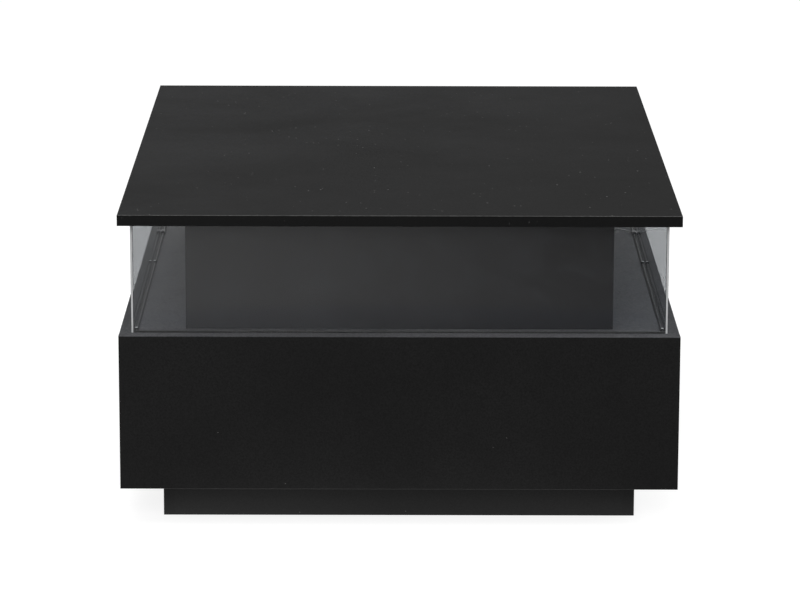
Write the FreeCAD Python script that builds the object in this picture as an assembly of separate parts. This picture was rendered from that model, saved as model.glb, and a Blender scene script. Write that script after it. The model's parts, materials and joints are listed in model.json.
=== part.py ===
import FreeCAD, Part
import math
import os

# Coffee table, deeper than wide: a board top carried by a hidden core box, a clear gallery
# with a light strip round that core, and a case with a drawer at each side
# on a recessed plinth.
# Millimetres, Z up. Origin on the floor under the middle of the table.
# The plain short end faces -Y, and the drawers open towards -X and +X.

# Overall sizes
table_width = 750.0
table_depth = 1000.0
plinth_height = 52.0
case_height = 211.0
gallery_height = 150.0
board = 15.0
edge_round = 0.8

# Plinth
plinth_setback = 55.0
block_leg = 42.0
block_drop = 6.0

# Clear panes of the gallery
pane = 3.0
pane_side_inset = 16.0
pane_end_inset = 22.0
pane_bevel = 0.3
pane_play = 0.2
groove_depth = 3.0
lift_play = 1.0

# Core box that carries the top
core_front_gap = 21.0
core_side_gap = 69.0

# Light strip on the deck: a flat base with a clear bead, held by screws in collars
strip_width = 6.0
strip_base = 0.8
strip_corner = 2.0
strip_play = 0.2
bead_width = 2.0
bead_height = 0.9
bead_bevel = 0.4
collar_radius = 2.4
collar_height = 2.6
collar_shares = (0.01, 0.45, 0.89, 0.99)
stud_radius = 0.8
stud_head_radius = 1.9
stud_crown_radius = 1.1
stud_head = 0.9
stud_depth = 8.0
drill_play = 0.1
connector_back = 660.0
connector_length = 16.0
connector_width = 6.0
connector_height = 4.2
connector_bevel = 0.7
latch_height = 0.6
latch_margin = 1.4

# Leads, grommets, controller and inlet
lead_radius = 1.0
lead_lift = 0.4
lead_seat = 5.0
lead_stub = 4.0
lead_rise = 4.6
lead_route_shares = ((0.24, 0.11), (0.42, 0.12), (0.66, 0.08), (0.84, 0.0))
bend_share = 0.45
supply_radius = 2.0
supply_lift = 17.0
supply_bends = (13.0, 20.0)
grommet_wall = 1.6
grommet_flange = 2.0
grommet_flange_height = 1.2
controller_length = 92.0
controller_width = 46.0
controller_height = 24.0
controller_round = 3.0
controller_lid = 1.2
controller_outlet = 330.0
supply_stand = 8.0
deck_hole_back = 70.0
saddle_length = 6.0
saddle_wall = 1.5
inlet_height = 50.0
inlet_body_radius = 5.5
inlet_flange_radius = 7.5
inlet_flange = 1.5
inlet_nut_radius = 8.0
inlet_nut = 3.0
inlet_nut_sides = 6
inlet_tail = 7.0
inlet_socket_radius = 2.8
inlet_socket_depth = 9.0
inlet_pin_radius = 1.0

# Drawers
drawer_back_gap = 21.0
drawer_side = 12.0
drawer_head_gap = 26.0
drawer_lift = 14.0
front_gap = 2.0
finger_gap = 22.0
finger_cove = 7.0
drawer_floor = 5.0
floor_groove = 5.0
floor_lift = 10.0
floor_play = 0.2

# Telescopic runners: three nested steel channels
runner_back_gap = 2.0
runner_thickness = 12.7
runner_height = 35.0
runner_setback = 3.0
runner_lift = 46.0
runner_gauge = 1.2
runner_play = 0.6
runner_bend = 2.2
runner_shares = (0.12, 0.74)

# Joint fittings: cams and pins, wood dowels, screws
cam_radius = 7.5
cam_inset = 24.0
cam_skin = 3.5
drawer_cam_skin = 1.5
cam_play = 0.1
cam_slot_radius = 3.8
cam_slit = 1.6
cam_slit_depth = 1.5
pin_thread_radius = 2.5
pin_thread = 11.0
pin_collar_radius = 3.4
pin_collar = 9.0
pin_neck_radius = 1.8
pin_head_radius = 3.0
pin_head = 4.0
dowel_radius = 4.0
dowel_face = 11.0
dowel_end = 19.0
screw_radius = 1.75
screw_head_radius = 3.4
screw_tip_radius = 0.5
screw_length = 11.0
case_cam_share = 0.62
core_cam_share = 0.56
core_dowel_inset = 40.0
drawer_cam_shares = (0.25, 0.84)
drawer_screw_shares = (0.28, 0.82)

# Flats round small fittings and round the ones that show
small_sides = 6
round_sides = 12
fine_sides = 16

# One overrun serves all cuts, one tolerance finds edges by their place
overrun = 1.0
tiny = 0.01

# Levels and half widths worked out from the sizes above
half_w = table_width / 2
half_d = table_depth / 2
case_z = plinth_height
deck_z = case_z + case_height
top_z = deck_z + gallery_height
table_height = top_z + board
inner_d = half_d - board
floor_z = case_z + board
deck_under = deck_z - board
pane_x = half_w - pane_side_inset
pane_y = half_d - pane_end_inset
core_x = pane_x - pane - core_side_gap
core_y = pane_y - pane - core_front_gap
plinth_x = half_w - plinth_setback
plinth_y = half_d - plinth_setback
bottom_x = half_w - board - finger_gap
front_x = half_w - board
drawer_end = board / 2 + drawer_back_gap
box_y = inner_d - runner_thickness
drawer_z = floor_z + drawer_lift
drawer_side_height = deck_under - drawer_head_gap - drawer_z
runner_z = drawer_z + runner_lift
runner_length = front_x - runner_setback - drawer_end - runner_back_gap
strip_x = pane_x - pane - strip_play
strip_y = pane_y - pane - strip_play
connector_y = connector_back - half_d
supply_x = board / 2 + supply_stand
supply_y = half_d - deck_hole_back

SIDES = (("left", -1), ("right", 1))
ENDS = (("near", -1), ("far", 1))

cuts = {}


def vec(x, y, z):
    return FreeCAD.Vector(x, y, z)


def span(sign, inner, outer):
    """Low and high value of a stretch that is mirrored with sign."""
    return tuple(sorted((sign * inner, sign * outer)))


def block(x, y, z):
    """Box from three (low, high) pairs."""
    return Part.makeBox(x[1] - x[0], y[1] - y[0], z[1] - z[0], vec(x[0], y[0], z[0]))


def ease(shape, radius, wanted):
    """Round the edges whose middle passes the test."""
    edges = [edge for edge in shape.Edges if wanted(edge.CenterOfMass)]
    return shape.makeFillet(radius, edges)


def bevel(shape, size, wanted):
    """Break the edges whose middle passes the test."""
    edges = [edge for edge in shape.Edges if wanted(edge.CenterOfMass)]
    return shape.makeChamfer(size, edges)


def near(value, target):
    return abs(value - target) < tiny


def outline(radius, centre, axis, sides):
    """Flat-sided ring square to an axis; opposite axes give the same corners."""
    across = vec(1, 0, 0) if near(abs(axis.z), axis.Length) else vec(0, 0, 1)
    first = across.cross(axis).normalize()
    second = axis.cross(first).normalize()
    corners = []
    for index in range(sides + 1):
        turn = 2 * math.pi * (index % sides) / sides
        corners.append(centre + first * (radius * math.cos(turn)) + second * (radius * math.sin(turn)))
    return Part.makePolygon(corners)


def rod(radius, length, start, axis, sides=small_sides):
    return Part.Face(outline(radius, start, axis, sides)).extrude(axis * length)


def bore(radius, length, start, axis, sides=small_sides):
    """Flat-sided hole that clears a round of this radius, however that is turned."""
    return rod(radius / math.cos(math.pi / sides), length, start, axis, sides)


def taper(radius, end_radius, length, start, axis, sides=small_sides):
    rings = [outline(radius, start, axis, sides), outline(end_radius, start + axis * length, axis, sides)]
    return Part.makeLoft(rings, True, True)


def drill(name, tool):
    """Keep a cut for a board until that board is made."""
    cuts.setdefault(name, []).append(tool)


def save(name, solids):
    """Write one node; every cut kept for it is taken out first."""
    made = []
    for solid in solids:
        if name in cuts:
            solid = solid.cut(Part.makeCompound(cuts[name]))
        made.append(solid)
    shape = made[0] if len(made) == 1 else Part.makeCompound(made)
    shape.exportStep("parts/" + name + ".step")
    print(name, len(shape.Solids), round(shape.Volume), shape.isValid())


def tube(points, radius, bends):
    """Tube along straight runs joined by tangent arcs of the given radii."""
    edges = []
    start = points[0]
    for index in range(1, len(points) - 1):
        corner = points[index]
        back = (points[index - 1] - corner).normalize()
        ahead = (points[index + 1] - corner).normalize()
        half_turn = (math.pi - back.getAngle(ahead)) / 2
        reach = bends[index - 1] * math.tan(half_turn)
        first = corner + back * reach
        last = corner + ahead * reach
        to_centre = (back + ahead).normalize()
        depth = bends[index - 1] / math.cos(half_turn) - bends[index - 1]
        edges.append(Part.LineSegment(start, first).toShape())
        edges.append(Part.Arc(first, corner + to_centre * depth, last).toShape())
        start = last
    edges.append(Part.LineSegment(start, points[-1]).toShape())
    path = Part.Wire(edges)
    ring = outline(radius, points[0], (points[1] - points[0]).normalize(), small_sides)
    solid = path.makePipeShell([ring], True, False)
    wanted = Part.Face(ring).Area * path.Length
    print("tube length", round(path.Length, 1), "volume share", round(solid.Volume / wanted, 4))
    return solid


def free_bends(points):
    """Bend radii for a loose lead: as large as the runs beside each corner allow."""
    radii = []
    for index in range(1, len(points) - 1):
        back = points[index - 1] - points[index]
        ahead = points[index + 1] - points[index]
        half_turn = (math.pi - back.getAngle(ahead)) / 2
        radii.append(bend_share * min(back.Length, ahead.Length) / math.tan(half_turn))
    print("bend radii", [round(radius, 1) for radius in radii])
    return radii


# Cams, dowels and screws

def cam_joint(seat, along, face, thickness, skin, cam_board, pin_board):
    """Cam in the end of one board, drawing a pin that is screwed into another.
    seat lies on the joint plane, along points into the cam's board and face
    points to the board's face that the cam is let into."""
    depth = thickness - skin
    centre = seat + along * cam_inset
    rim = centre + face * (thickness / 2)
    drill(cam_board, rod(cam_radius, depth + overrun, rim + face * overrun, face * -1, round_sides))
    drill(cam_board, rod(pin_collar_radius + drill_play, cam_inset, seat, along))
    drill(pin_board, rod(pin_thread_radius + drill_play, pin_thread + drill_play, seat, along * -1))
    cam = rod(cam_radius - cam_play, depth - cam_play, rim, face * -1, round_sides)
    slot = rod(cam_slot_radius, cam_radius + cam_slot_radius, centre - along * cam_radius, along)
    across = face.cross(along)
    corner = rim - across * cam_slot_radius - face * cam_slit_depth
    slit = Part.makeBox(2 * cam_slot_radius, cam_slit, cam_slit_depth + overrun)
    slit.Placement = FreeCAD.Placement(corner, FreeCAD.Rotation(across, face.cross(across), face))
    cam = cam.cut(slot).cut(slit)
    steps = ((pin_thread_radius, -pin_thread, 0.0),
             (pin_collar_radius, 0.0, pin_collar),
             (pin_neck_radius, pin_collar, cam_inset - pin_head / 2),
             (pin_head_radius, cam_inset - pin_head / 2, cam_inset + pin_head / 2))
    pin = None
    for radius, low, high in steps:
        piece = rod(radius, high - low, seat + along * low, along)
        pin = piece if pin is None else pin.fuse(piece)
    return cam, pin


def dowel_joint(seat, along, end_board, face_board):
    """Fluted wood dowel across a joint: its long end is in the end of a board."""
    drill(end_board, rod(dowel_radius + drill_play, dowel_end + drill_play, seat, along))
    drill(face_board, rod(dowel_radius + drill_play, dowel_face + drill_play, seat, along * -1))
    return rod(dowel_radius, dowel_end + dowel_face, seat - along * dowel_face, along)


def screw(head, along, length, *boards):
    """Countersunk screw: head lies on the flush face, along points into the work."""
    sink = screw_head_radius - screw_radius
    cone = taper(screw_head_radius, screw_radius, sink, head, along)
    shank = rod(screw_radius, length - sink - screw_radius, head + along * sink, along)
    tip = taper(screw_radius, screw_tip_radius, screw_radius, head + along * (length - screw_radius), along)
    for name in boards:
        drill(name, taper(screw_head_radius + drill_play, screw_radius + drill_play, sink, head, along))
        drill(name, rod(screw_radius + drill_play, length + drill_play, head, along))
    return cone.fuse(shank).fuse(tip)


# Grooves for the panes, cut into the deck and into the top's underside

def pane_grooves(low, high):
    inner_x = pane_x - pane - pane_play
    inner_y = pane_y - pane - pane_play
    outer_x = pane_x + pane_play
    outer_y = pane_y
    tools = []
    for _, sign in SIDES:
        tools.append(block(span(sign, inner_x, outer_x), (-outer_y, outer_y), (low, high)))
        tools.append(block((-outer_x, outer_x), span(sign, inner_y, outer_y), (low, high)))
    return tools


def make_top_panel():
    slab = block((-half_w, half_w), (-half_d, half_d), (top_z, table_height))
    for tool in pane_grooves(top_z - overrun, top_z + groove_depth + lift_play):
        drill("top_panel", tool)
    return ease(slab, edge_round, lambda p: not near(p.z, table_height - board / 2))


def make_deck():
    slab = block((-half_w, half_w), (-inner_d, inner_d), (deck_under, deck_z))
    for tool in pane_grooves(deck_z - groove_depth, deck_z + overrun):
        drill("deck_board", tool)
    return ease(slab, edge_round, lambda p: near(abs(p.x), half_w) and not near(abs(p.y), inner_d))


def make_case_panel(sign):
    slab = block((-half_w, half_w), span(sign, inner_d, half_d), (case_z, deck_z))
    return ease(slab, edge_round, lambda p: near(p.y, sign * half_d))


def make_panes():
    low = deck_z - groove_depth
    high = top_z + groove_depth
    panes = {}
    for name, sign in SIDES:
        sheet = block(span(sign, pane_x - pane, pane_x), (-pane_y, pane_y), (low, high))
        panes["pane_" + name] = sheet.makeChamfer(pane_bevel, sheet.Edges)
    between = pane_x - pane - pane_play
    for name, sign in (("front", -1), ("back", 1)):
        sheet = block((-between, between), span(sign, pane_y - pane, pane_y), (low, high))
        panes["pane_" + name] = sheet.makeChamfer(pane_bevel, sheet.Edges)
    return panes


def make_core():
    boards = {}
    levels = (deck_z, top_z)
    for name, sign in (("front", -1), ("back", 1)):
        slab = block((-core_x, core_x), span(sign, core_y - board, core_y), levels)
        outer = lambda p: near(p.y, sign * core_y) and near(abs(p.x), core_x)
        boards["core_" + name] = bevel(slab, edge_round, outer)
    between = core_y - board
    for name, sign in SIDES:
        boards["core_" + name] = block(span(sign, core_x - board, core_x), (-between, between), levels)
    return boards


def make_plinth():
    boards = {}
    levels = (0.0, plinth_height)
    for name, sign in SIDES:
        slab = block(span(sign, plinth_x - board, plinth_x), (-plinth_y, plinth_y), levels)
        outer = lambda p: near(abs(p.y), plinth_y) and near(abs(p.x), plinth_x)
        boards["plinth_" + name] = bevel(slab, edge_round, outer)
    for name, sign in (("front", -1), ("back", 1)):
        boards["plinth_" + name] = block((board - plinth_x, plinth_x - board),
                                         span(sign, plinth_y - board, plinth_y), levels)
    between = plinth_y - board
    boards["plinth_centre_rail"] = block((-board / 2, board / 2), (-between, between), levels)
    return boards


def make_corner_blocks():
    """Three-cornered glue blocks inside the plinth, under the bottom board."""
    blocks = []
    for _, sx in SIDES:
        for _, sy in SIDES:
            corner = vec(sx * (plinth_x - board), sy * (plinth_y - board), block_drop)
            legs = [corner, corner - vec(sx * block_leg, 0, 0), corner - vec(0, sy * block_leg, 0), corner]
            face = Part.Face(Part.makePolygon(legs))
            blocks.append(face.extrude(vec(0, 0, plinth_height - block_drop)))
    return blocks


# Light strip, clips, connectors and leads

def hoop(inset, width, low, high):
    """Flat bar round the deck, a given distance inside the strip's outer edge."""
    x = strip_x - inset
    y = strip_y - inset
    outer = block((-x, x), (-y, y), (low, high))
    outer = bevel(outer, strip_corner, lambda p: near(p.z, (low + high) / 2))
    x = x - width
    y = y - width
    return outer.cut(block((-x, x), (-y, y), (low - overrun, high + overrun)))


def make_strips():
    """Strip that follows the foot of the panes, in two halves, and its fixings."""
    up = vec(0, 0, 1)
    base_z = deck_z + strip_base
    bead_z = base_z + bead_height
    bead = hoop((strip_width - bead_width) / 2, bead_width, base_z, bead_z)
    bead = bevel(bead, bead_bevel, lambda p: near(p.z, bead_z))
    collars = []
    studs = []
    line_x = strip_x - strip_width / 2
    line_y = strip_y - strip_width / 2
    bores = []
    for _, sign in SIDES:
        for share in collar_shares:
            foot = vec(sign * line_x, (2 * share - 1) * line_y, base_z)
            bead = bead.cut(rod(collar_radius + drill_play, bead_height + overrun, foot, up, round_sides))
            bores.append(rod(stud_radius + drill_play, collar_height + 2 * overrun, foot - up * overrun, up))
            collars.append(rod(collar_radius, collar_height, foot, up, round_sides).cut(bores[-1]))
            top = foot + up * collar_height
            head = taper(stud_head_radius, stud_crown_radius, stud_head, top, up, round_sides)
            shank = rod(stud_radius, collar_height + strip_base + stud_depth, top, up * -1)
            studs.append(head.fuse(shank))
            drill("deck_board", rod(stud_radius + drill_play, stud_depth + drill_play,
                                    foot - up * strip_base, up * -1))
    strip = hoop(0.0, strip_width, deck_z, base_z).cut(Part.makeCompound(bores)).fuse(bead)
    half = connector_length / 2
    room = (deck_z - overrun, bead_z + overrun)
    wide = (-half_w, half_w)
    front = strip.cut(block(wide, (connector_y - half, half_d), room))
    back = strip.cut(block(wide, (-half_d, connector_y + half), room))
    return front, back, collars, studs


def make_connectors():
    half = connector_length / 2
    bodies = []
    for _, sign in SIDES:
        body = block(span(sign, strip_x - connector_width, strip_x), (connector_y - half, connector_y + half),
                     (deck_z, deck_z + connector_height))
        body = bevel(body, connector_bevel, lambda p: near(p.z, deck_z + connector_height))
        latch = block(span(sign, strip_x - connector_width + latch_margin, strip_x - latch_margin),
                      (connector_y - half + latch_margin, connector_y + half - latch_margin),
                      (deck_z + connector_height, deck_z + connector_height + latch_height))
        bodies.append(body.fuse(latch))
    return bodies


def make_grommet(centre, axis, thickness, lead, board_name):
    """Rubber grommet through a board, with a flange on both faces."""
    body = lead + drill_play + grommet_wall
    drill(board_name, rod(body + drill_play, thickness + 2 * overrun,
                          centre - axis * (thickness / 2 + overrun), axis, round_sides))
    tall = thickness + 2 * grommet_flange_height
    start = centre - axis * (tall / 2)
    ring = rod(body, tall, start, axis, round_sides)
    for low in (0.0, tall - grommet_flange_height):
        ring = ring.fuse(rod(body + grommet_flange, grommet_flange_height, start + axis * low, axis,
                             round_sides))
    return ring.cut(bore(lead + drill_play, tall + 2 * overrun, start - axis * overrun, axis))


def make_leads():
    """Thin lead from the right connector into the core, and the supply lead."""
    low = deck_z + connector_height - connector_bevel - lead_radius
    high = deck_z + lead_radius + lead_rise
    hole = deck_z + lead_radius + drill_play + grommet_wall + grommet_flange + lead_lift
    start = strip_x - connector_width
    reach = start - core_x
    heights = (high, high, (high + hole) / 2, hole)
    route = [vec(start, connector_y + lead_seat, low), vec(start - lead_stub, connector_y + lead_seat, low)]
    for (along, aside), z in zip(lead_route_shares, heights):
        route.append(vec(start - along * reach, connector_y + aside * reach, z))
    route.append(vec(core_x - board / 2, connector_y, hole))
    thin = tube(route, lead_radius, free_bends(route))
    side_grommet = make_grommet(vec(core_x - board / 2, connector_y, hole), vec(1, 0, 0), board,
                                lead_radius, "core_right")
    tail = vec(supply_x, inner_d - inlet_tail, case_z + inlet_height)
    run = [vec(supply_x, controller_outlet, deck_z + supply_lift),
           vec(supply_x, supply_y, deck_z + supply_lift),
           vec(supply_x, supply_y, case_z + inlet_height),
           tail]
    thick = tube(run, supply_radius, supply_bends)
    deck_grommet = make_grommet(vec(supply_x, supply_y, deck_z - board / 2), vec(0, 0, 1), board,
                                supply_radius, "deck_board")
    return thin, thick, [side_grommet, deck_grommet]


def make_controller():
    side = controller_width / 2
    start = controller_outlet - controller_length
    roof = deck_z + controller_height
    body = block((supply_x - side, supply_x + side), (start, controller_outlet), (deck_z, roof))
    body = ease(body, controller_round, lambda p: near(p.z, deck_z + controller_height / 2))
    lid_side = side - controller_round
    lid = block((supply_x - lid_side, supply_x + lid_side),
                (start + controller_round, controller_outlet - controller_round),
                (roof, roof + controller_lid))
    return body.fuse(lid)


def make_saddle():
    """Cable saddle that holds the supply lead against the divider."""
    face = board / 2
    level = (deck_under + floor_z) / 2
    outer = supply_radius + drill_play + saddle_wall
    z = (level - saddle_length / 2, level + saddle_length / 2)
    body = block((face, supply_x), (supply_y - outer, supply_y + outer), z)
    cap = rod(outer, saddle_length, vec(supply_x, supply_y, z[0]), vec(0, 0, 1), round_sides)
    hole = bore(supply_radius + drill_play, saddle_length + 2 * overrun,
                vec(supply_x, supply_y, z[0] - overrun), vec(0, 0, 1))
    return body.fuse(cap).cut(hole)


def make_inlet():
    """Round low-voltage inlet, let in flush with the back panel."""
    axis = vec(0, 1, 0)
    centre = vec(supply_x, 0.0, case_z + inlet_height)
    outer = centre + axis * half_d
    inner = centre + axis * inner_d
    drill("back_panel", rod(inlet_body_radius + drill_play, board + 2 * overrun,
                            inner - axis * overrun, axis, fine_sides))
    drill("back_panel", rod(inlet_flange_radius + drill_play, inlet_flange + overrun,
                            outer - axis * inlet_flange, axis, fine_sides))
    body = rod(inlet_body_radius, board + inlet_tail, inner - axis * inlet_tail, axis, fine_sides)
    flange = rod(inlet_flange_radius, inlet_flange, outer - axis * inlet_flange, axis, fine_sides)
    nut = rod(inlet_nut_radius, inlet_nut, inner - axis * inlet_nut, axis, inlet_nut_sides)
    socket_floor = outer - axis * inlet_socket_depth
    socket = rod(inlet_socket_radius, inlet_socket_depth, socket_floor, axis, fine_sides)
    pin = rod(inlet_pin_radius, inlet_socket_depth - overrun, socket_floor, axis)
    return body.fuse(flange).fuse(nut).cut(socket).fuse(pin)


# Runners: channel sections drawn across the gap between panel and drawer

def channel(side, end, near_face, far_face, half_height, web_first):
    """Rolled channel along X. Faces are counted from the case panel inwards."""
    x = span(side, front_x - runner_setback - runner_length, front_x - runner_setback)
    y = span(end, inner_d - near_face, inner_d - far_face)
    z = (runner_z - half_height, runner_z + half_height)
    web_y = end * (inner_d - (near_face if web_first else far_face))
    outer = bevel(block(x, y, z), runner_bend,
                  lambda p: near(p.y, web_y) and near(abs(p.z - runner_z), half_height))
    if web_first:
        hollow_y = span(end, inner_d - near_face - runner_gauge, inner_d - far_face - overrun)
        floor_y = end * (inner_d - near_face - runner_gauge)
    else:
        hollow_y = span(end, inner_d - near_face + overrun, inner_d - far_face + runner_gauge)
        floor_y = end * (inner_d - far_face + runner_gauge)
    inside = half_height - runner_gauge
    hollow = block((x[0] - overrun, x[1] + overrun), hollow_y, (runner_z - inside, runner_z + inside))
    hollow = bevel(hollow, runner_bend - runner_gauge,
                   lambda p: near(p.y, floor_y) and near(abs(p.z - runner_z), inside))
    return outer.cut(hollow)


def make_runners(name, side):
    """Case, middle and drawer members of both runners of one drawer."""
    step = runner_gauge + runner_play
    half = runner_height / 2
    case_members = []
    middle_members = []
    drawer_members = []
    case_screws = []
    drawer_screws = []
    start = front_x - runner_setback
    for end_name, end in ENDS:
        case_members.append(channel(side, end, 0.0, runner_thickness - step - runner_play, half, True))
        middle_members.append(channel(side, end, step, runner_thickness - step, half - step, True))
        drawer_members.append(channel(side, end, 2 * step, runner_thickness, half - 2 * step, False))
        panel_name = "front_panel" if end < 0 else "back_panel"
        for share in runner_shares:
            x = side * (start - share * runner_length)
            case_screws.append(screw(vec(x, end * (inner_d - runner_gauge), runner_z), vec(0, end, 0),
                                     screw_length, panel_name, name + "_runner_case_members"))
            drawer_screws.append(screw(vec(x, end * (box_y + runner_gauge), runner_z), vec(0, -end, 0),
                                       screw_length, name + "_drawer_" + end_name + "_side",
                                       name + "_drawer_runners"))
    return case_members, middle_members, drawer_members, case_screws, drawer_screws


# Drawers

def make_drawer(name, side, screws):
    title = name + "_drawer_"
    top_of_side = drawer_z + drawer_side_height
    floor_low = drawer_z + floor_lift
    floor_high = floor_low + drawer_floor
    inner_y = box_y - drawer_side

    face_y = inner_d - front_gap
    front = block(span(side, front_x, half_w), (-face_y, face_y), (case_z, deck_under - front_gap))
    front = ease(front, edge_round, lambda p: near(p.x, side * half_w))
    drill(title + "front", block(span(side, front_x - overrun, front_x + floor_groove),
                                 (-inner_y - floor_groove, inner_y + floor_groove),
                                 (floor_low, floor_high + floor_play)))
    drill(title + "front", Part.makeCylinder(finger_cove, 2 * inner_y, vec(side * front_x, -inner_y, case_z),
                                             vec(0, 1, 0)))

    sides = {}
    for end_name, end in ENDS:
        plank = block(span(side, drawer_end, front_x), span(end, inner_y, box_y), (drawer_z, top_of_side))
        plank = bevel(plank, edge_round, lambda p: near(p.z, top_of_side) and not near(p.x, side * front_x)
                      and not near(p.x, side * drawer_end))
        drill(title + end_name + "_side",
              block(span(side, drawer_end - overrun, front_x + overrun),
                    span(end, inner_y - overrun, inner_y + floor_groove),
                    (floor_low, floor_high + floor_play)))
        sides[end_name] = plank

    bottom = block(span(side, drawer_end, front_x + floor_groove - floor_play),
                   (floor_play - inner_y - floor_groove, inner_y + floor_groove - floor_play),
                   (floor_low, floor_high))
    back = block(span(side, drawer_end, drawer_end + drawer_side), (-inner_y, inner_y),
                 (floor_high + floor_play, top_of_side - drawer_side))
    back = bevel(back, edge_round, lambda p: near(p.z, top_of_side - drawer_side) and near(p.y, 0.0))

    cams = []
    pins = []
    for end_name, end in ENDS:
        for share in drawer_cam_shares:
            seat = vec(side * front_x, end * (inner_y + drawer_side / 2),
                       drawer_z + share * drawer_side_height)
            cam, pin = cam_joint(seat, vec(-side, 0, 0), vec(0, -end, 0), drawer_side, drawer_cam_skin,
                                 title + end_name + "_side", title + "front")
            cams.append(cam)
            pins.append(pin)
        for share in drawer_screw_shares:
            head = vec(side * (drawer_end + drawer_side / 2), end * box_y,
                       drawer_z + share * drawer_side_height)
            screws.append(screw(head, vec(0, -end, 0), 2 * screw_length, title + end_name + "_side",
                                title + "back"))

    save(title + "front", [front])
    for end_name, plank in sides.items():
        save(title + end_name + "_side", [plank])
    save(title + "back", [back])
    save(title + "bottom", [bottom])
    save(title + "cams", cams)
    save(title + "cam_pins", pins)
    save(title + "screws", screws)


def make_case_joints():
    cams = []
    pins = []
    pegs = []
    for _, sx in SIDES:
        for end, panel_name in ((-1, "front_panel"), (1, "back_panel")):
            seat = vec(sx * case_cam_share * half_w, end * inner_d, deck_z - board / 2)
            cam, pin = cam_joint(seat, vec(0, -end, 0), vec(0, 0, -1), board, cam_skin,
                                 "deck_board", panel_name)
            cams.append(cam)
            pins.append(pin)
            seat = vec(sx * case_cam_share * half_w, end * inner_d, case_z + board / 2)
            pegs.append(dowel_joint(seat, vec(0, -end, 0), "bottom_board", panel_name))
    return cams, pins, pegs


def make_core_joints():
    cams = []
    pins = []
    pegs = []
    middle = core_x - board / 2
    for name, sx in SIDES:
        for end_name, end in (("front", -1), ("back", 1)):
            y = end * core_cam_share * core_y
            cam, pin = cam_joint(vec(sx * middle, y, top_z), vec(0, 0, -1), vec(-sx, 0, 0), board, cam_skin,
                                 "core_" + name, "top_panel")
            cams.append(cam)
            pins.append(pin)
            pegs.append(dowel_joint(vec(sx * middle, y, deck_z), vec(0, 0, 1), "core_" + name, "deck_board"))
            for z in (deck_z + core_dowel_inset, top_z - core_dowel_inset):
                seat = vec(sx * middle, end * (core_y - board), z)
                pegs.append(dowel_joint(seat, vec(0, -end, 0), "core_" + name, "core_" + end_name))
    return cams, pins, pegs


os.makedirs("parts", exist_ok=True)

case_cams, case_pins, case_pegs = make_case_joints()
core_cams, core_pins, core_pegs = make_core_joints()
led_lead, supply_lead, grommets = make_leads()
inlet = make_inlet()
strip_front, strip_back, collars, studs = make_strips()

for name, side in SIDES:
    case_members, middle_members, drawer_members, case_screws, drawer_screws = make_runners(name, side)
    save(name + "_runner_case_members", case_members)
    save(name + "_runner_case_screws", case_screws)
    save(name + "_runner_middle_members", middle_members)
    save(name + "_drawer_runners", drawer_members)
    make_drawer(name, side, drawer_screws)

save("top_panel", [make_top_panel()])
save("front_panel", [make_case_panel(-1)])
save("back_panel", [make_case_panel(1)])
save("deck_board", [make_deck()])
save("bottom_board", [block((-bottom_x, bottom_x), (-inner_d, inner_d), (case_z, floor_z))])
save("centre_divider", [block((-board / 2, board / 2), (-inner_d, inner_d), (floor_z, deck_under))])
for name, solid in make_plinth().items():
    save(name, [solid])
save("plinth_corner_blocks", make_corner_blocks())
for name, solid in make_core().items():
    save(name, [solid])
for name, solid in make_panes().items():
    save(name, [solid])
save("led_strip_front", [strip_front])
save("led_strip_back", [strip_back])
save("led_connectors", make_connectors())
save("led_clips", collars)
save("led_clip_nails", studs)
save("led_lead", [led_lead])
save("supply_lead", [supply_lead])
save("lead_grommets", grommets)
save("led_controller", [make_controller()])
save("cable_saddle", [make_saddle()])
save("dc_inlet", [inlet])
save("case_cams", case_cams)
save("case_cam_pins", case_pins)
save("core_cams", core_cams)
save("core_cam_pins", core_pins)
save("wood_dowels", case_pegs + core_pegs)
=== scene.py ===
import json
import math

import bpy
from mathutils import Matrix, Vector


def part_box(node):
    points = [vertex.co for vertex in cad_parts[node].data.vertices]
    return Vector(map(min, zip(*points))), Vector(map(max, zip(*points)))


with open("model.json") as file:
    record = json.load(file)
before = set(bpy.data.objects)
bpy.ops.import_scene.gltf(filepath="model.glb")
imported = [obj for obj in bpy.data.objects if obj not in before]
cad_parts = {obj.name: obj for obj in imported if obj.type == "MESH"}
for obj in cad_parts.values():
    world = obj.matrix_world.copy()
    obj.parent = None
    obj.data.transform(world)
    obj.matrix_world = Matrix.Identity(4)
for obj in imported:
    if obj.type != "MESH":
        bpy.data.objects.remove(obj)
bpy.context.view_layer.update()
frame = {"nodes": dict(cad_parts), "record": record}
nodes = frame["nodes"]
mm = 0.001
print("frame loaded:", len(nodes), "nodes")


# The photograph's view: a long lens a little left of the middle, looking down at the front
cameraView = {
    "place": (-0.0134, -5.5353, 1.4797),
    "pitch": 13.04,  # degrees below level
    "yaw": -0.158,  # degrees, turned to the right
    "roll": 0.163,  # degrees, its right side raised
    "lens": 174.85,  # mm
    "sensor": 36.0,  # mm wide
    "reach": 100.0,  # metres, past the far end of the floor
}


def placeCamera():
    pitch, yaw, roll = (math.radians(cameraView[key]) for key in ("pitch", "yaw", "roll"))
    level = math.cos(pitch)
    forward = Vector((-math.sin(yaw) * level, math.cos(yaw) * level, -math.sin(pitch)))
    right = Vector((math.cos(yaw), math.sin(yaw), 0))
    up = right.cross(forward)
    tiltedRight = right * math.cos(roll) + up * math.sin(roll)
    tiltedUp = up * math.cos(roll) - right * math.sin(roll)
    turn = Matrix((tiltedRight, tiltedUp, -forward)).transposed().to_4x4()
    camera = bpy.data.cameras.new("tableCamera")
    camera.lens = cameraView["lens"]
    camera.sensor_width = cameraView["sensor"]
    camera.clip_end = cameraView["reach"]
    holder = bpy.data.objects.new("tableCamera", camera)
    holder.matrix_world = Matrix.Translation(cameraView["place"]) @ turn
    bpy.context.scene.collection.objects.link(holder)
    bpy.context.scene.camera = holder


placeCamera()
bpy.context.scene.view_settings.view_transform = "Standard"
print("camera placed")


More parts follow.
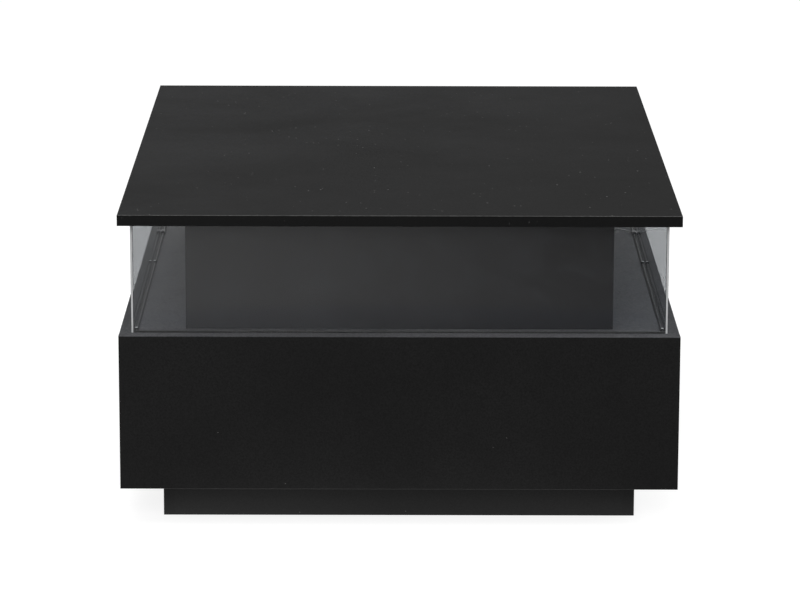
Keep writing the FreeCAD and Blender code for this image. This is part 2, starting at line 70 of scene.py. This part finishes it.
# Colours and nodes

def hexToLinear(code):
    # the numbers are those of the sRGB standard's own curve
    parts = [int(code[i:i + 2], 16) / 255 for i in (1, 3, 5)]
    return tuple(p / 12.92 if p <= 0.04045 else ((p + 0.055) / 1.055) ** 2.4 for p in parts) + (1.0,)


# A Mix node's sockets for numbers and for colours have the same names, so they go by their place
share = 0  # how much of B there is in the mix
numberA, numberB, mixedNumber = 2, 3, 0
colourA, colourB, mixedColour = 6, 7, 2
half = 0.5  # parts no from yes, and a count of none from a count of one


def addNode(tree, kind, values=None, links=None, **settings):
    node = tree.nodes.new(kind)
    for key, value in settings.items():
        setattr(node, key, value)
    for key, value in (values or {}).items():
        node.inputs[key].default_value = value
    for key, socket in (links or {}).items():
        tree.links.new(socket, node.inputs[key])
    return node


def newMaterial(name):
    material = bpy.data.materials.new(name)
    material.use_nodes = True
    material.node_tree.nodes.clear()
    return material, material.node_tree


# Satin melamine: black printed paper pressed under resin. It gives a deep black with a soft wide
# gloss, a fine pressed grain that breaks the gloss up, a cloudy unevenness and lint. Faces that look up get
# a pale film, partly settled dust and partly painted light; upright faces can get painted shade and rounded
# edges a painted highlight.
melamine = {
    "face": "#0c0c0c",
    "cloud": "#161616",
    "cloudSize": 90 * mm,
    "paintedUprightShade": "#050505",  # painted shade: upright faces are painted a deeper black
    "dustAndLightFilm": "#5c5d60",  # a pale film on faces that look up: settled dust, and painted light
    "patchSize": 330 * mm,  # wiped and unwiped patches of the film
    "patchSpan": (0.36, 0.64),  # the noise of a wiped and of an unwiped place
    # a painted highlight on rounded edges
    "roundedEdgeHighlight": "#7c7c7b",
    "dust": "#757574",
    "dustSize": 9 * mm,  # one speck of lint in some of the cells of this size
    "dustRadius": 1.15 * mm,  # lint is about 0.5 mm, drawn coarser so that it shows
    "grainSize": 2.2 * mm,  # pressed grain is about 0.3 mm, drawn coarser so that it shows
    "grainSpan": (0.25, 0.75),  # the noise of the grain's hollows and of its tops
    "grainTone": (0.4, 1.6),  # how far these darken and brighten the paper
    "grainStrength": 0.03,
    "grainDepth": 0.05 * mm,
    "roughness": (0.45, 0.57),  # on the face's own tone, and on the clouds
    "specular": 0.2,
    # where a face counts as upright, level or rounded, by the height of its normal, 1 straight up
    "uprightRise": (0.3, 0.1),  # not at all, and fully
    "levelRise": (0.3, 0.9),  # not at all, and fully
    "roundedRise": (0.6, 0.35),  # the middle, and how far from it
}


# How much each kind of board has of lint, of the pale film on faces that look up (settled dust and painted
# light), of patches in that film, of the painted highlight on rounded edges and of the painted shade on
# upright faces.
# The lean, a painted light gradient, is how much thicker the film gets for each metre along X, Y and Z.
boardFinishes = {
    "satinMelamine": {"dust": 0.01, "dustAndLightFilm": 0.7, "patches": 0.12, "roundedEdgeHighlight": 0.0, "paintedUprightShade": 0.0,
                      "paintedLightLean": (0.0, 0.0, 0.0)},
    # the plinth's end boards: a copy painted darker on its upright faces, as shade
    "satinEndMelaminePaintedShade": {"dust": 0.01, "dustAndLightFilm": 0.7, "patches": 0.12, "roundedEdgeHighlight": 0.0, "paintedUprightShade": 0.5,
                         "paintedLightLean": (0.0, 0.0, 0.0)},
    # the top: its film leans across it as a painted light gradient, with painted shade on upright faces and
    # a painted highlight on rounded edges
    "satinTopMelaminePaintedLight": {"dust": 0.3, "dustAndLightFilm": 0.045, "patches": 0.6, "roundedEdgeHighlight": 0.4, "paintedUprightShade": 0.85,
                         "paintedLightLean": (-1.9, 1.3, 0.0)},
}


def makeMelamine(name):
    m = melamine
    board = boardFinishes[name]
    material, tree = newMaterial(name)
    coordinates = addNode(tree, "ShaderNodeTexCoord")
    place = coordinates.outputs["Object"]
    facing = addNode(tree, "ShaderNodeSeparateXYZ", links={"Vector": coordinates.outputs["Normal"]})
    rise = facing.outputs["Z"]

    # the printed paper, with painted shade on its upright faces
    cloud = addNode(tree, "ShaderNodeTexNoise",
                    {"Scale": 1 / m["cloudSize"], "Detail": 3.0, "Roughness": 0.55}, {"Vector": place})
    paper = addNode(tree, "ShaderNodeMix",
                    {colourA: hexToLinear(m["face"]), colourB: hexToLinear(m["cloud"])},
                    {share: cloud.outputs["Fac"]}, data_type="RGBA")
    upright = addNode(tree, "ShaderNodeMapRange",
                      {"From Min": m["uprightRise"][0], "From Max": m["uprightRise"][1],
                       "To Max": board["paintedUprightShade"]}, {"Value": rise})
    uprightShaded = addNode(tree, "ShaderNodeMix", {colourB: hexToLinear(m["paintedUprightShade"])},
                    {share: upright.outputs[0], colourA: paper.outputs[mixedColour]}, data_type="RGBA")

    # the pale film on faces that look up, settled dust and painted light, in patches and thicker the way
    # the painted light leans
    upFacingFilm = addNode(tree, "ShaderNodeMapRange",
                      {"From Min": m["levelRise"][0], "From Max": m["levelRise"][1],
                       "To Max": board["dustAndLightFilm"]}, {"Value": rise})
    wiped = addNode(tree, "ShaderNodeTexNoise",
                    {"Scale": 1 / m["patchSize"], "Detail": 3.0, "Roughness": 0.6, "Distortion": 0.4},
                    {"Vector": place})
    patches = addNode(tree, "ShaderNodeMapRange",
                      {"From Min": m["patchSpan"][0], "From Max": m["patchSpan"][1],
                       "To Min": 1 - board["patches"], "To Max": 1 + board["patches"]},
                      {"Value": wiped.outputs["Fac"]})
    paintedLightLean = addNode(tree, "ShaderNodeVectorMath", {1: board["paintedLightLean"]}, {0: place}, operation="DOT_PRODUCT")
    paintedLightSlope = addNode(tree, "ShaderNodeMath", {1: 1.0}, {0: paintedLightLean.outputs["Value"]}, operation="ADD")
    uneven = addNode(tree, "ShaderNodeMath", links={0: paintedLightSlope.outputs[0], 1: patches.outputs[0]},
                     operation="MULTIPLY")
    thick = addNode(tree, "ShaderNodeMath", links={0: upFacingFilm.outputs[0], 1: uneven.outputs[0]},
                    operation="MULTIPLY")
    dustedAndLit = addNode(tree, "ShaderNodeMix", {colourB: hexToLinear(m["dustAndLightFilm"])},
                    {share: thick.outputs[0], colourA: uprightShaded.outputs[mixedColour]}, data_type="RGBA")

    # the painted highlight on rounded edges
    rounded = addNode(tree, "ShaderNodeMath", {1: m["roundedRise"][0], 2: m["roundedRise"][1]}, {0: rise},
                      operation="COMPARE")
    highlightShare = addNode(tree, "ShaderNodeMath", {1: board["roundedEdgeHighlight"]}, {0: rounded.outputs[0]},
                      operation="MULTIPLY")
    highlighted = addNode(tree, "ShaderNodeMix", {colourB: hexToLinear(m["roundedEdgeHighlight"])},
                   {share: highlightShare.outputs[0], colourA: dustedAndLit.outputs[mixedColour]}, data_type="RGBA")

    # the pressed grain
    grain = addNode(tree, "ShaderNodeTexNoise", {"Scale": 1 / m["grainSize"], "Detail": 2.0},
                    {"Vector": place})
    grainTone = addNode(tree, "ShaderNodeMapRange",
                        {"From Min": m["grainSpan"][0], "From Max": m["grainSpan"][1],
                         "To Min": m["grainTone"][0], "To Max": m["grainTone"][1]},
                        {"Value": grain.outputs["Fac"]})
    grained = addNode(tree, "ShaderNodeVectorMath",
                      links={0: highlighted.outputs[mixedColour], "Scale": grainTone.outputs[0]},
                      operation="SCALE")
    bump = addNode(tree, "ShaderNodeBump", {"Strength": m["grainStrength"], "Distance": m["grainDepth"]},
                   {"Height": grain.outputs["Fac"]})

    # the lint, a round speck in each chosen cell
    cells = addNode(tree, "ShaderNodeTexVoronoi", {"Scale": 1 / m["dustSize"], "Randomness": 1.0},
                    {"Vector": place}, feature="F1")
    pick = addNode(tree, "ShaderNodeSeparateColor", links={"Color": cells.outputs["Color"]})
    chosen = addNode(tree, "ShaderNodeMath", {1: board["dust"]}, {0: pick.outputs["Red"]},
                     operation="LESS_THAN")
    radius = addNode(tree, "ShaderNodeMath", {1: m["dustRadius"] / m["dustSize"]},
                     {0: pick.outputs["Green"]}, operation="MULTIPLY")
    inside = addNode(tree, "ShaderNodeMath", links={0: cells.outputs["Distance"], 1: radius.outputs[0]},
                     operation="LESS_THAN")
    speck = addNode(tree, "ShaderNodeMath", links={0: chosen.outputs[0], 1: inside.outputs[0]},
                    operation="MULTIPLY")
    colour = addNode(tree, "ShaderNodeMix", {colourB: hexToLinear(m["dust"])},
                     {share: speck.outputs[0], colourA: grained.outputs[0]}, data_type="RGBA")

    sheen = addNode(tree, "ShaderNodeMapRange",
                    {"To Min": m["roughness"][0], "To Max": m["roughness"][1]},
                    {"Value": cloud.outputs["Fac"]})
    resin = addNode(tree, "ShaderNodeBsdfPrincipled", {"Specular IOR Level": m["specular"]},
                    {"Base Color": colour.outputs[mixedColour], "Roughness": sheen.outputs[0],
                     "Normal": bump.outputs[0]})
    addNode(tree, "ShaderNodeOutputMaterial", links={"Surface": resin.outputs[0]})
    return material


# Cast acrylic sheet, wiped dry: clear, with faint smears and streaks on its faces. Its polished edges are
# painted pale and opaque, a painted highlight for the light they gather. The lamps' light goes straight
# through.
acrylic = {
    # the pale paint of the polished edges, a painted highlight
    "edge": "#cbcccd",
    "edgeRoughness": 0.35,
    "ior": 1.49,
    "specular": 0.2,
    "smearSize": 60 * mm,  # a hand's width
    "smearSpan": (0.55, 0.8),  # the noise of a clean place and of a full smear
    "smearRoughness": 0.008,
    "wipe": "#9aa0a8",  # dry wiping marks, a faint film on both faces
    "wipeSize": 45 * mm,
    "wipeSpan": (0.45, 0.75),  # the noise of a clean place and of a full mark
    "wipeShare": 0.018,
}


# The panes at the table's ends face Y. Those along its sides face X, are seen nearly edge on and
# look faintly blue. Their IOR is lower than the real one, at which so slanting a view would mirror
# more than the real panes do.
acrylicSheets = {
    "castAcrylicSheet": {"faces": "Y", "ior": acrylic["ior"], "tint": "#f7f7f7"},
    "castAcrylicSideSheet": {"faces": "X", "ior": 1.12, "tint": "#f0f4f7"},
}


def makeAcrylic(name):
    a = acrylic
    pane = acrylicSheets[name]
    tint = hexToLinear(pane["tint"])
    material, tree = newMaterial(name)
    coordinates = addNode(tree, "ShaderNodeTexCoord")
    place = coordinates.outputs["Object"]

    # the faces: clear sheet with its smears, and the wiping marks on it
    smear = addNode(tree, "ShaderNodeTexNoise", {"Scale": 1 / a["smearSize"], "Detail": 4.0},
                    {"Vector": place})
    haze = addNode(tree, "ShaderNodeMapRange",
                   {"From Min": a["smearSpan"][0], "From Max": a["smearSpan"][1],
                    "To Max": a["smearRoughness"]}, {"Value": smear.outputs["Fac"]})
    sheet = addNode(tree, "ShaderNodeBsdfPrincipled",
                    {"Base Color": tint, "Transmission Weight": 1.0, "IOR": pane["ior"],
                     "Specular IOR Level": a["specular"]}, {"Roughness": haze.outputs[0]})
    streaks = addNode(tree, "ShaderNodeTexNoise",
                      {"Scale": 1 / a["wipeSize"], "Detail": 5.0, "Distortion": 1.2}, {"Vector": place})
    wiping = addNode(tree, "ShaderNodeMapRange",
                     {"From Min": a["wipeSpan"][0], "From Max": a["wipeSpan"][1],
                      "To Max": a["wipeShare"]}, {"Value": streaks.outputs["Fac"]})
    marks = addNode(tree, "ShaderNodeBsdfDiffuse", {"Color": hexToLinear(a["wipe"])})
    wiped = addNode(tree, "ShaderNodeMixShader",
                    links={share: wiping.outputs[0], 1: sheet.outputs[0], 2: marks.outputs[0]})

    # the polished edges, where the sheet doesn't face its own way, painted pale as a highlight
    polishedEdgeHighlight = addNode(tree, "ShaderNodeBsdfPrincipled",
                  {"Base Color": hexToLinear(a["edge"]), "Roughness": a["edgeRoughness"], "IOR": a["ior"]})
    facing = addNode(tree, "ShaderNodeSeparateXYZ", links={"Vector": coordinates.outputs["Normal"]})
    across = addNode(tree, "ShaderNodeMath", links={0: facing.outputs[pane["faces"]]},
                     operation="ABSOLUTE")
    isRim = addNode(tree, "ShaderNodeMath", {1: half}, {0: across.outputs[0]}, operation="LESS_THAN")
    solid = addNode(tree, "ShaderNodeMixShader",
                    links={share: isRim.outputs[0], 1: wiped.outputs[0], 2: polishedEdgeHighlight.outputs[0]})

    # what the lamps' light finds
    clear = addNode(tree, "ShaderNodeBsdfTransparent", {"Color": tint})
    path = addNode(tree, "ShaderNodeLightPath")
    surface = addNode(tree, "ShaderNodeMixShader",
                      links={share: path.outputs["Is Shadow Ray"], 1: solid.outputs[0],
                             2: clear.outputs[0]})
    addNode(tree, "ShaderNodeOutputMaterial", links={"Surface": surface.outputs[0]})
    return material


# Extruded light strip, unlit: a matt black base with a half clear bead on it. The bead's inner half is
# painted a dully glossy, mottled dark grey, a painted highlight uneven along its length, and on the side
# runs its outer half is painted black as shade.
strip = {
    "base": "#0b0b0c",
    "baseRoughness": 0.6,
    # the bead's two tones, a painted highlight
    "beadHighlightDark": "#303132",
    "beadHighlightPale": "#454647",
    "beadRoughness": 0.35,
    "beadFrom": 0.85 * mm,  # above the deck, just over the base
    "mottleSize": 6 * mm,  # uneven painted glints along the bead
    "width": 6 * mm,
}


def makeStrip(name):
    material, tree = newMaterial(name)
    place = addNode(tree, "ShaderNodeTexCoord").outputs["Object"]
    mottle = addNode(tree, "ShaderNodeTexNoise", {"Scale": 1 / strip["mottleSize"], "Detail": 3.0},
                     {"Vector": place})
    beadHighlight = addNode(tree, "ShaderNodeMix",
                   {colourA: hexToLinear(strip["beadHighlightDark"]), colourB: hexToLinear(strip["beadHighlightPale"])},
                   {share: mottle.outputs["Fac"]}, data_type="RGBA")
    spot = addNode(tree, "ShaderNodeSeparateXYZ", links={"Vector": place})
    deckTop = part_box("deck_board")[1][2]
    above = addNode(tree, "ShaderNodeMath", {1: deckTop + strip["beadFrom"]}, {0: spot.outputs["Z"]},
                    operation="GREATER_THAN")
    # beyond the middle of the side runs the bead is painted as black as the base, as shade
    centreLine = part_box("led_strip_front")[1][0] - strip["width"] / 2
    aside = addNode(tree, "ShaderNodeMath", links={0: spot.outputs["X"]}, operation="ABSOLUTE")
    inner = addNode(tree, "ShaderNodeMath", {1: centreLine}, {0: aside.outputs[0]}, operation="LESS_THAN")
    paintedHighlightMask = addNode(tree, "ShaderNodeMath", links={0: above.outputs[0], 1: inner.outputs[0]},
                     operation="MULTIPLY")
    tone = addNode(tree, "ShaderNodeMix", {colourA: hexToLinear(strip["base"])},
                   {share: paintedHighlightMask.outputs[0], colourB: beadHighlight.outputs[mixedColour]}, data_type="RGBA")
    sheen = addNode(tree, "ShaderNodeMapRange",
                    {"To Min": strip["baseRoughness"], "To Max": strip["beadRoughness"]},
                    {"Value": paintedHighlightMask.outputs[0]})
    body = addNode(tree, "ShaderNodeBsdfPrincipled",
                   links={"Base Color": tone.outputs[mixedColour], "Roughness": sheen.outputs[0]})
    addNode(tree, "ShaderNodeOutputMaterial", links={"Surface": body.outputs[0]})
    return material


# Finishes of one material in two near tones: the tones, the size of their mottle, the roughness
# at its middle and, where there is one, the metallic value and how the mottle is drawn out along
# X, Y and Z. The smaller that number is, the longer the streaks are that way. Real mottles finer
# than a millimetre, as on metals, rubber and moulded plastic, are drawn coarser so that they show.
plainFinishes = {
    # foil on chipboard, printed: a dull near black with faint streaks along the board
    "foiledBoard": {"tones": ("#1a1a1b", "#29292a"), "mottle": 1.5 * mm, "roughness": 0.5,
                    "drawn": (0.12, 0.12, 1)},
    # hardboard, lacquered on one face: a brownish black, softly blotched, with a low gloss
    "lacqueredHardboard": {"tones": ("#22211f", "#33302c"), "mottle": 3 * mm, "roughness": 0.45},
    # pine, sawn and left bare: a dull pale orange with streaks along its upright fibres
    "sawnPine": {"tones": ("#b0804f", "#d8b382"), "mottle": 4 * mm, "roughness": 0.75,
                 "drawn": (1, 1, 0.07)},
    # beech, turned into dowels: a pinkish brown with fine flecks
    "turnedBeech": {"tones": ("#b98a63", "#cfa47c"), "mottle": 2 * mm, "roughness": 0.6},
    # clear plastic, moulded: over the black strip it reads as a glossy dark grey
    "clearMoulding": {"tones": ("#2c2d2f", "#37383a"), "mottle": 2 * mm, "roughness": 0.35},
    # ABS, moulded with a fine texture: a soft black
    "blackAbs": {"tones": ("#101010", "#1a1a1a"), "mottle": 1 * mm, "roughness": 0.5},
    # vinyl sheath, extruded: pale grey with a soft gloss
    "paleVinyl": {"tones": ("#858584", "#9a9a98"), "mottle": 2 * mm, "roughness": 0.45},
    # the same sheath in black
    "blackVinyl": {"tones": ("#121212", "#1c1c1c"), "mottle": 2 * mm, "roughness": 0.45},
    # rubber, moulded: matt black
    "blackRubber": {"tones": ("#131313", "#1e1e1e"), "mottle": 1 * mm, "roughness": 0.7},
    # zinc, die cast: a dull grey metal, slightly blotched
    "castZinc": {"tones": ("#8d8e90", "#a4a5a7"), "mottle": 1 * mm, "roughness": 0.45, "metallic": 1.0},
    # steel, rolled and zinc plated: a bright bluish metal with fine marks along the runners
    "zincPlatedSteel": {"tones": ("#94979b", "#babdc1"), "mottle": 1.2 * mm, "roughness": 0.32,
                        "metallic": 1.0, "drawn": (0.05, 1, 1)},
    # nickel on small nail heads, satin: pale and only partly metal, a painted glint that keeps the dots
    # bright where a full metal mirrors the dark
    "satinNickelPaintedGlint": {"tones": ("#c4c5c6", "#d6d7d8"), "mottle": 1 * mm, "roughness": 0.45, "metallic": 0.2},
}

# How far the mottle goes into the roughness and into the height
plainRelief = {"sheen": 0.06, "strength": 0.3, "depth": 0.02 * mm}


def makePlain(name):
    plain = plainFinishes[name]
    darker, paler = (hexToLinear(code) for code in plain["tones"])
    material, tree = newMaterial(name)
    place = addNode(tree, "ShaderNodeTexCoord").outputs["Object"]
    drawn = addNode(tree, "ShaderNodeMapping", {"Scale": plain.get("drawn", (1, 1, 1))}, {"Vector": place})
    mottle = addNode(tree, "ShaderNodeTexNoise", {"Scale": 1 / plain["mottle"], "Detail": 4.0},
                     {"Vector": drawn.outputs[0]})
    tone = addNode(tree, "ShaderNodeMix", {colourA: darker, colourB: paler},
                   {share: mottle.outputs["Fac"]}, data_type="RGBA")
    sheen = addNode(tree, "ShaderNodeMapRange",
                    {"To Min": plain["roughness"] - plainRelief["sheen"],
                     "To Max": plain["roughness"] + plainRelief["sheen"]},
                    {"Value": mottle.outputs["Fac"]})
    bump = addNode(tree, "ShaderNodeBump",
                   {"Strength": plainRelief["strength"], "Distance": plainRelief["depth"]},
                   {"Height": mottle.outputs["Fac"]})
    body = addNode(tree, "ShaderNodeBsdfPrincipled", {"Metallic": plain.get("metallic", 0.0)},
                   {"Base Color": tone.outputs[mixedColour], "Roughness": sheen.outputs[0],
                    "Normal": bump.outputs[0]})
    addNode(tree, "ShaderNodeOutputMaterial", links={"Surface": body.outputs[0]})
    return material


# Which finish each material of the part gets, and the pieces that have one of their own
finishOf = {
    "black_melamine": "satinMelamine",
    "drawer_board": "foiledBoard",
    "drawer_bottom": "lacqueredHardboard",
    "clear_acrylic": "castAcrylicSheet",
    "softwood": "sawnPine",
    "beech": "turnedBeech",
    "light_strip": "extrudedStrip",
    "clear_plastic": "clearMoulding",
    "black_plastic": "blackAbs",
    "lead_sheath": "paleVinyl",
    "black_lead": "blackVinyl",
    "black_rubber": "blackRubber",
    "zinc_casting": "castZinc",
    "zinc_steel": "zincPlatedSteel",
    "steel_nail": "satinNickelPaintedGlint",
}
ownFinish = {
    "top_panel": "satinTopMelaminePaintedLight",
    "plinth_left": "satinEndMelaminePaintedShade",
    "plinth_right": "satinEndMelaminePaintedShade",
    "pane_left": "castAcrylicSideSheet",
    "pane_right": "castAcrylicSideSheet",
}

materials = {"extrudedStrip": makeStrip("extrudedStrip")}
for finishes, makeFinish in ((boardFinishes, makeMelamine), (acrylicSheets, makeAcrylic),
                             (plainFinishes, makePlain)):
    for name in finishes:
        materials[name] = makeFinish(name)
print("materials made:", len(materials))

for part in frame["record"]["subparts"]:
    name = part["node"]
    slots = nodes[name].data.materials
    slots.clear()
    slots.append(materials[ownFinish.get(name, finishOf[part["material_slot"]])])
print("materials given to the pieces")


# 1 where the camera looks through the acrylic, 0 for light that has been scattered before
def lookingThrough(tree, path):
    unscattered = addNode(tree, "ShaderNodeMath", {1: half}, {0: path.outputs["Diffuse Depth"]},
                          operation="LESS_THAN")
    return addNode(tree, "ShaderNodeMath",
                   links={0: path.outputs["Is Transmission Ray"], 1: unscattered.outputs[0]},
                   operation="MULTIPLY")


# Matt painted floor: plain white to the eye, with the table's soft shadow on it. What the table's
# gloss mirrors of it is a pool of light in the middle instead, as in a real studio.
studioFloor = {
    "halfSide": 30.0,  # metres
    "drop": 0.5 * mm,  # just under the plinth, so that the two faces don't meet
    "colour": "#a2a2a2",
    "glow": 0.82,  # makes it white where the camera or the acrylic looks at it
    "glassGlow": 1.25,  # more of it through acrylic, which takes a little
    # Each band below is a list of places and of how strongly the lit floor shows there. Places run
    # from the middle outwards, 1 being bandReach metres away, or from sideReach metres at the left
    # to as far at the right.
    "bandReach": 4.0,
    "sideReach": 0.45,
    "nearBand": ((0.14, 1.5), (0.165, 0.38), (0.22, 0.4), (0.3, 0.6), (0.38, 0.66), (0.4, 0.0)),
    "nearSideBand": ((0.0, 1.6), (0.2, 1.3), (0.5, 0.95), (0.8, 1.1), (1.0, 1.3)),
    "farBand": ((0.38, 0.0), (0.4, 0.3), (0.46, 0.36), (0.6, 0.34), (0.7, 0.06)),
    "farSideBand": ((0.0, 1.5), (0.25, 1.3), (0.5, 1.0), (1.0, 0.4)),
    # the lit floor looks bluish where the front pane mirrors its nearer part
    "tint": "#d9e2ff",
    "tintBand": ((0.38, 0.0), (0.39, 1.0), (0.435, 1.0), (0.447, 0.4), (0.6, 0.15)),
    "tintSideBand": ((0.0, 0.3), (0.5, 0.35), (1.0, 0.75)),
    # behind the table, between these metres, the bands give way to an even floor
    "behindReach": (0.4, 0.9),
    "behindShine": (0.4, 1.0),  # mirrored straight away, and after passing the acrylic
}


def makeFloor():
    f = studioFloor
    bpy.ops.object.select_all(action="DESELECT")
    bpy.ops.mesh.primitive_plane_add(size=2 * f["halfSide"], location=(0, 0, -f["drop"]))
    floor = bpy.context.object
    floor.name = "studioFloor"
    material, tree = newMaterial("paintedFloor")
    place = addNode(tree, "ShaderNodeTexCoord").outputs["Object"]
    away = addNode(tree, "ShaderNodeVectorMath", links={0: place}, operation="LENGTH")
    ways = addNode(tree, "ShaderNodeSeparateXYZ", links={"Vector": place})
    outwards = addNode(tree, "ShaderNodeMapRange", {"From Max": f["bandReach"]},
                       {"Value": away.outputs["Value"]})
    sideways = addNode(tree, "ShaderNodeMapRange",
                       {"From Min": -f["sideReach"], "From Max": f["sideReach"]},
                       {"Value": ways.outputs["X"]})
    bands = {}
    for name, along in (("nearBand", outwards), ("nearSideBand", sideways),
                        ("farBand", outwards), ("farSideBand", sideways),
                        ("tintBand", outwards), ("tintSideBand", sideways)):
        ramp = addNode(tree, "ShaderNodeValToRGB", links={"Fac": along.outputs[0]})
        stops = ramp.color_ramp.elements
        stops.remove(stops[1])
        for index, (spot, strength) in enumerate(f[name]):
            stop = stops.new(spot) if index else stops[0]
            stop.position = spot
            stop.color = (strength, strength, strength, 1)
        bands[name] = ramp.outputs["Color"]

    # how brightly it is mirrored: near and far bands, and the even floor behind the table
    nearPool = addNode(tree, "ShaderNodeMath", links={0: bands["nearBand"], 1: bands["nearSideBand"]},
                       operation="MULTIPLY")
    pool = addNode(tree, "ShaderNodeMath",
                   links={0: bands["farBand"], 1: bands["farSideBand"], 2: nearPool.outputs[0]},
                   operation="MULTIPLY_ADD")
    behind = addNode(tree, "ShaderNodeMapRange",
                     {"From Min": f["behindReach"][0], "From Max": f["behindReach"][1]},
                     {"Value": ways.outputs["Y"]}, interpolation_type="SMOOTHSTEP")
    path = addNode(tree, "ShaderNodeLightPath")
    passed = addNode(tree, "ShaderNodeMapRange",
                     {"To Min": f["behindShine"][0], "To Max": f["behindShine"][1]},
                     {"Value": path.outputs["Transmission Depth"]})
    lit = addNode(tree, "ShaderNodeMix",
                  links={share: behind.outputs[0], numberA: pool.outputs[0], numberB: passed.outputs[0]},
                  data_type="FLOAT")

    # how brightly it is seen, by the camera itself and through the acrylic
    clear = lookingThrough(tree, path)
    through = addNode(tree, "ShaderNodeMath", {1: f["glassGlow"]}, {0: clear.outputs[0]},
                      operation="MULTIPLY")
    shown = addNode(tree, "ShaderNodeMath", links={0: path.outputs["Is Camera Ray"], 1: through.outputs[0]},
                    operation="MAXIMUM")
    glow = addNode(tree, "ShaderNodeMath", {1: f["glow"]}, {0: shown.outputs[0]}, operation="MULTIPLY")

    # one or the other of these, with its tint, and the paint where it isn't mirrored
    mirrored = addNode(tree, "ShaderNodeMath", {1: half}, {0: path.outputs["Glossy Depth"]},
                       operation="GREATER_THAN")
    brightness = addNode(tree, "ShaderNodeMix",
                         links={share: mirrored.outputs[0], numberA: glow.outputs[0],
                                numberB: lit.outputs[mixedNumber]}, data_type="FLOAT")
    paint = addNode(tree, "ShaderNodeBsdfDiffuse", {"Color": hexToLinear(f["colour"])})
    dark = addNode(tree, "ShaderNodeBsdfDiffuse", {"Color": (0, 0, 0, 1)})
    coat = addNode(tree, "ShaderNodeMixShader",
                   links={share: mirrored.outputs[0], 1: paint.outputs[0], 2: dark.outputs[0]})
    bluish = addNode(tree, "ShaderNodeMath", links={0: bands["tintBand"], 1: bands["tintSideBand"]},
                     operation="MULTIPLY")
    tinted = addNode(tree, "ShaderNodeMath", links={0: bluish.outputs[0], 1: mirrored.outputs[0]},
                     operation="MULTIPLY")
    hue = addNode(tree, "ShaderNodeMix", {colourA: (1, 1, 1, 1), colourB: hexToLinear(f["tint"])},
                  {share: tinted.outputs[0]}, data_type="RGBA")
    light = addNode(tree, "ShaderNodeEmission",
                    links={"Color": hue.outputs[mixedColour], "Strength": brightness.outputs[mixedNumber]})
    surface = addNode(tree, "ShaderNodeAddShader", links={0: coat.outputs[0], 1: light.outputs[0]})
    addNode(tree, "ShaderNodeOutputMaterial", links={"Surface": surface.outputs[0]})
    floor.data.materials.append(material)


# The room round the table: white to the camera, plain soft light for the rest
studioWorld = {
    "seen": 1.0,
    "light": 0.5,
    "shine": 0.24,  # as the table's gloss mirrors it
}


def makeWorld():
    world = bpy.data.worlds.new("studioWorld")
    world.use_nodes = True
    tree = world.node_tree
    tree.nodes.clear()
    path = addNode(tree, "ShaderNodeLightPath")
    clear = lookingThrough(tree, path)
    seen = addNode(tree, "ShaderNodeMath", links={0: path.outputs["Is Camera Ray"], 1: clear.outputs[0]},
                   operation="MAXIMUM")
    shine = addNode(tree, "ShaderNodeMix", {numberA: studioWorld["light"], numberB: studioWorld["shine"]},
                    {share: path.outputs["Is Glossy Ray"]}, data_type="FLOAT")
    brightness = addNode(tree, "ShaderNodeMix", {numberB: studioWorld["seen"]},
                         {share: seen.outputs[0], numberA: shine.outputs[mixedNumber]}, data_type="FLOAT")
    light = addNode(tree, "ShaderNodeBackground", {"Color": (1, 1, 1, 1)},
                    {"Strength": brightness.outputs[mixedNumber]})
    addNode(tree, "ShaderNodeOutputWorld", links={"Surface": light.outputs[0]})
    bpy.context.scene.world = world


# Square soft lamps: where each stands and aims, its side in metres and its power in watts
studioLamps = {
    "topLamp": {"place": (-0.6, -0.2, 2.7), "aim": (0, 0, 0.3), "side": 2.4, "power": 19.0},
    "frontLamp": {"place": (-0.5, -5.2, 2.9), "aim": (0, 0, 0.4), "side": 1.8, "power": 76.0},
    "leftLamp": {"place": (-2.8, -1.2, 1.6), "aim": (0, 0, 0.2), "side": 1.4, "power": 14.0},
    "rightLamp": {"place": (2.6, -0.8, 1.8), "aim": (0, 0, 0.2), "side": 1.4, "power": 30.0},
}


def makeLamps():
    for name, setting in studioLamps.items():
        lamp = bpy.data.lights.new(name, "AREA")
        lamp.size = setting["side"]
        lamp.energy = setting["power"]
        holder = bpy.data.objects.new(name, lamp)
        towards = Vector(setting["aim"]) - Vector(setting["place"])
        holder.rotation_euler = towards.to_track_quat("-Z", "Y").to_euler()
        holder.location = setting["place"]
        holder.visible_transmission = False  # its light passes the acrylic as shadow rays already
        bpy.context.scene.collection.objects.link(holder)


makeFloor()
makeWorld()
makeLamps()
print("studio made")
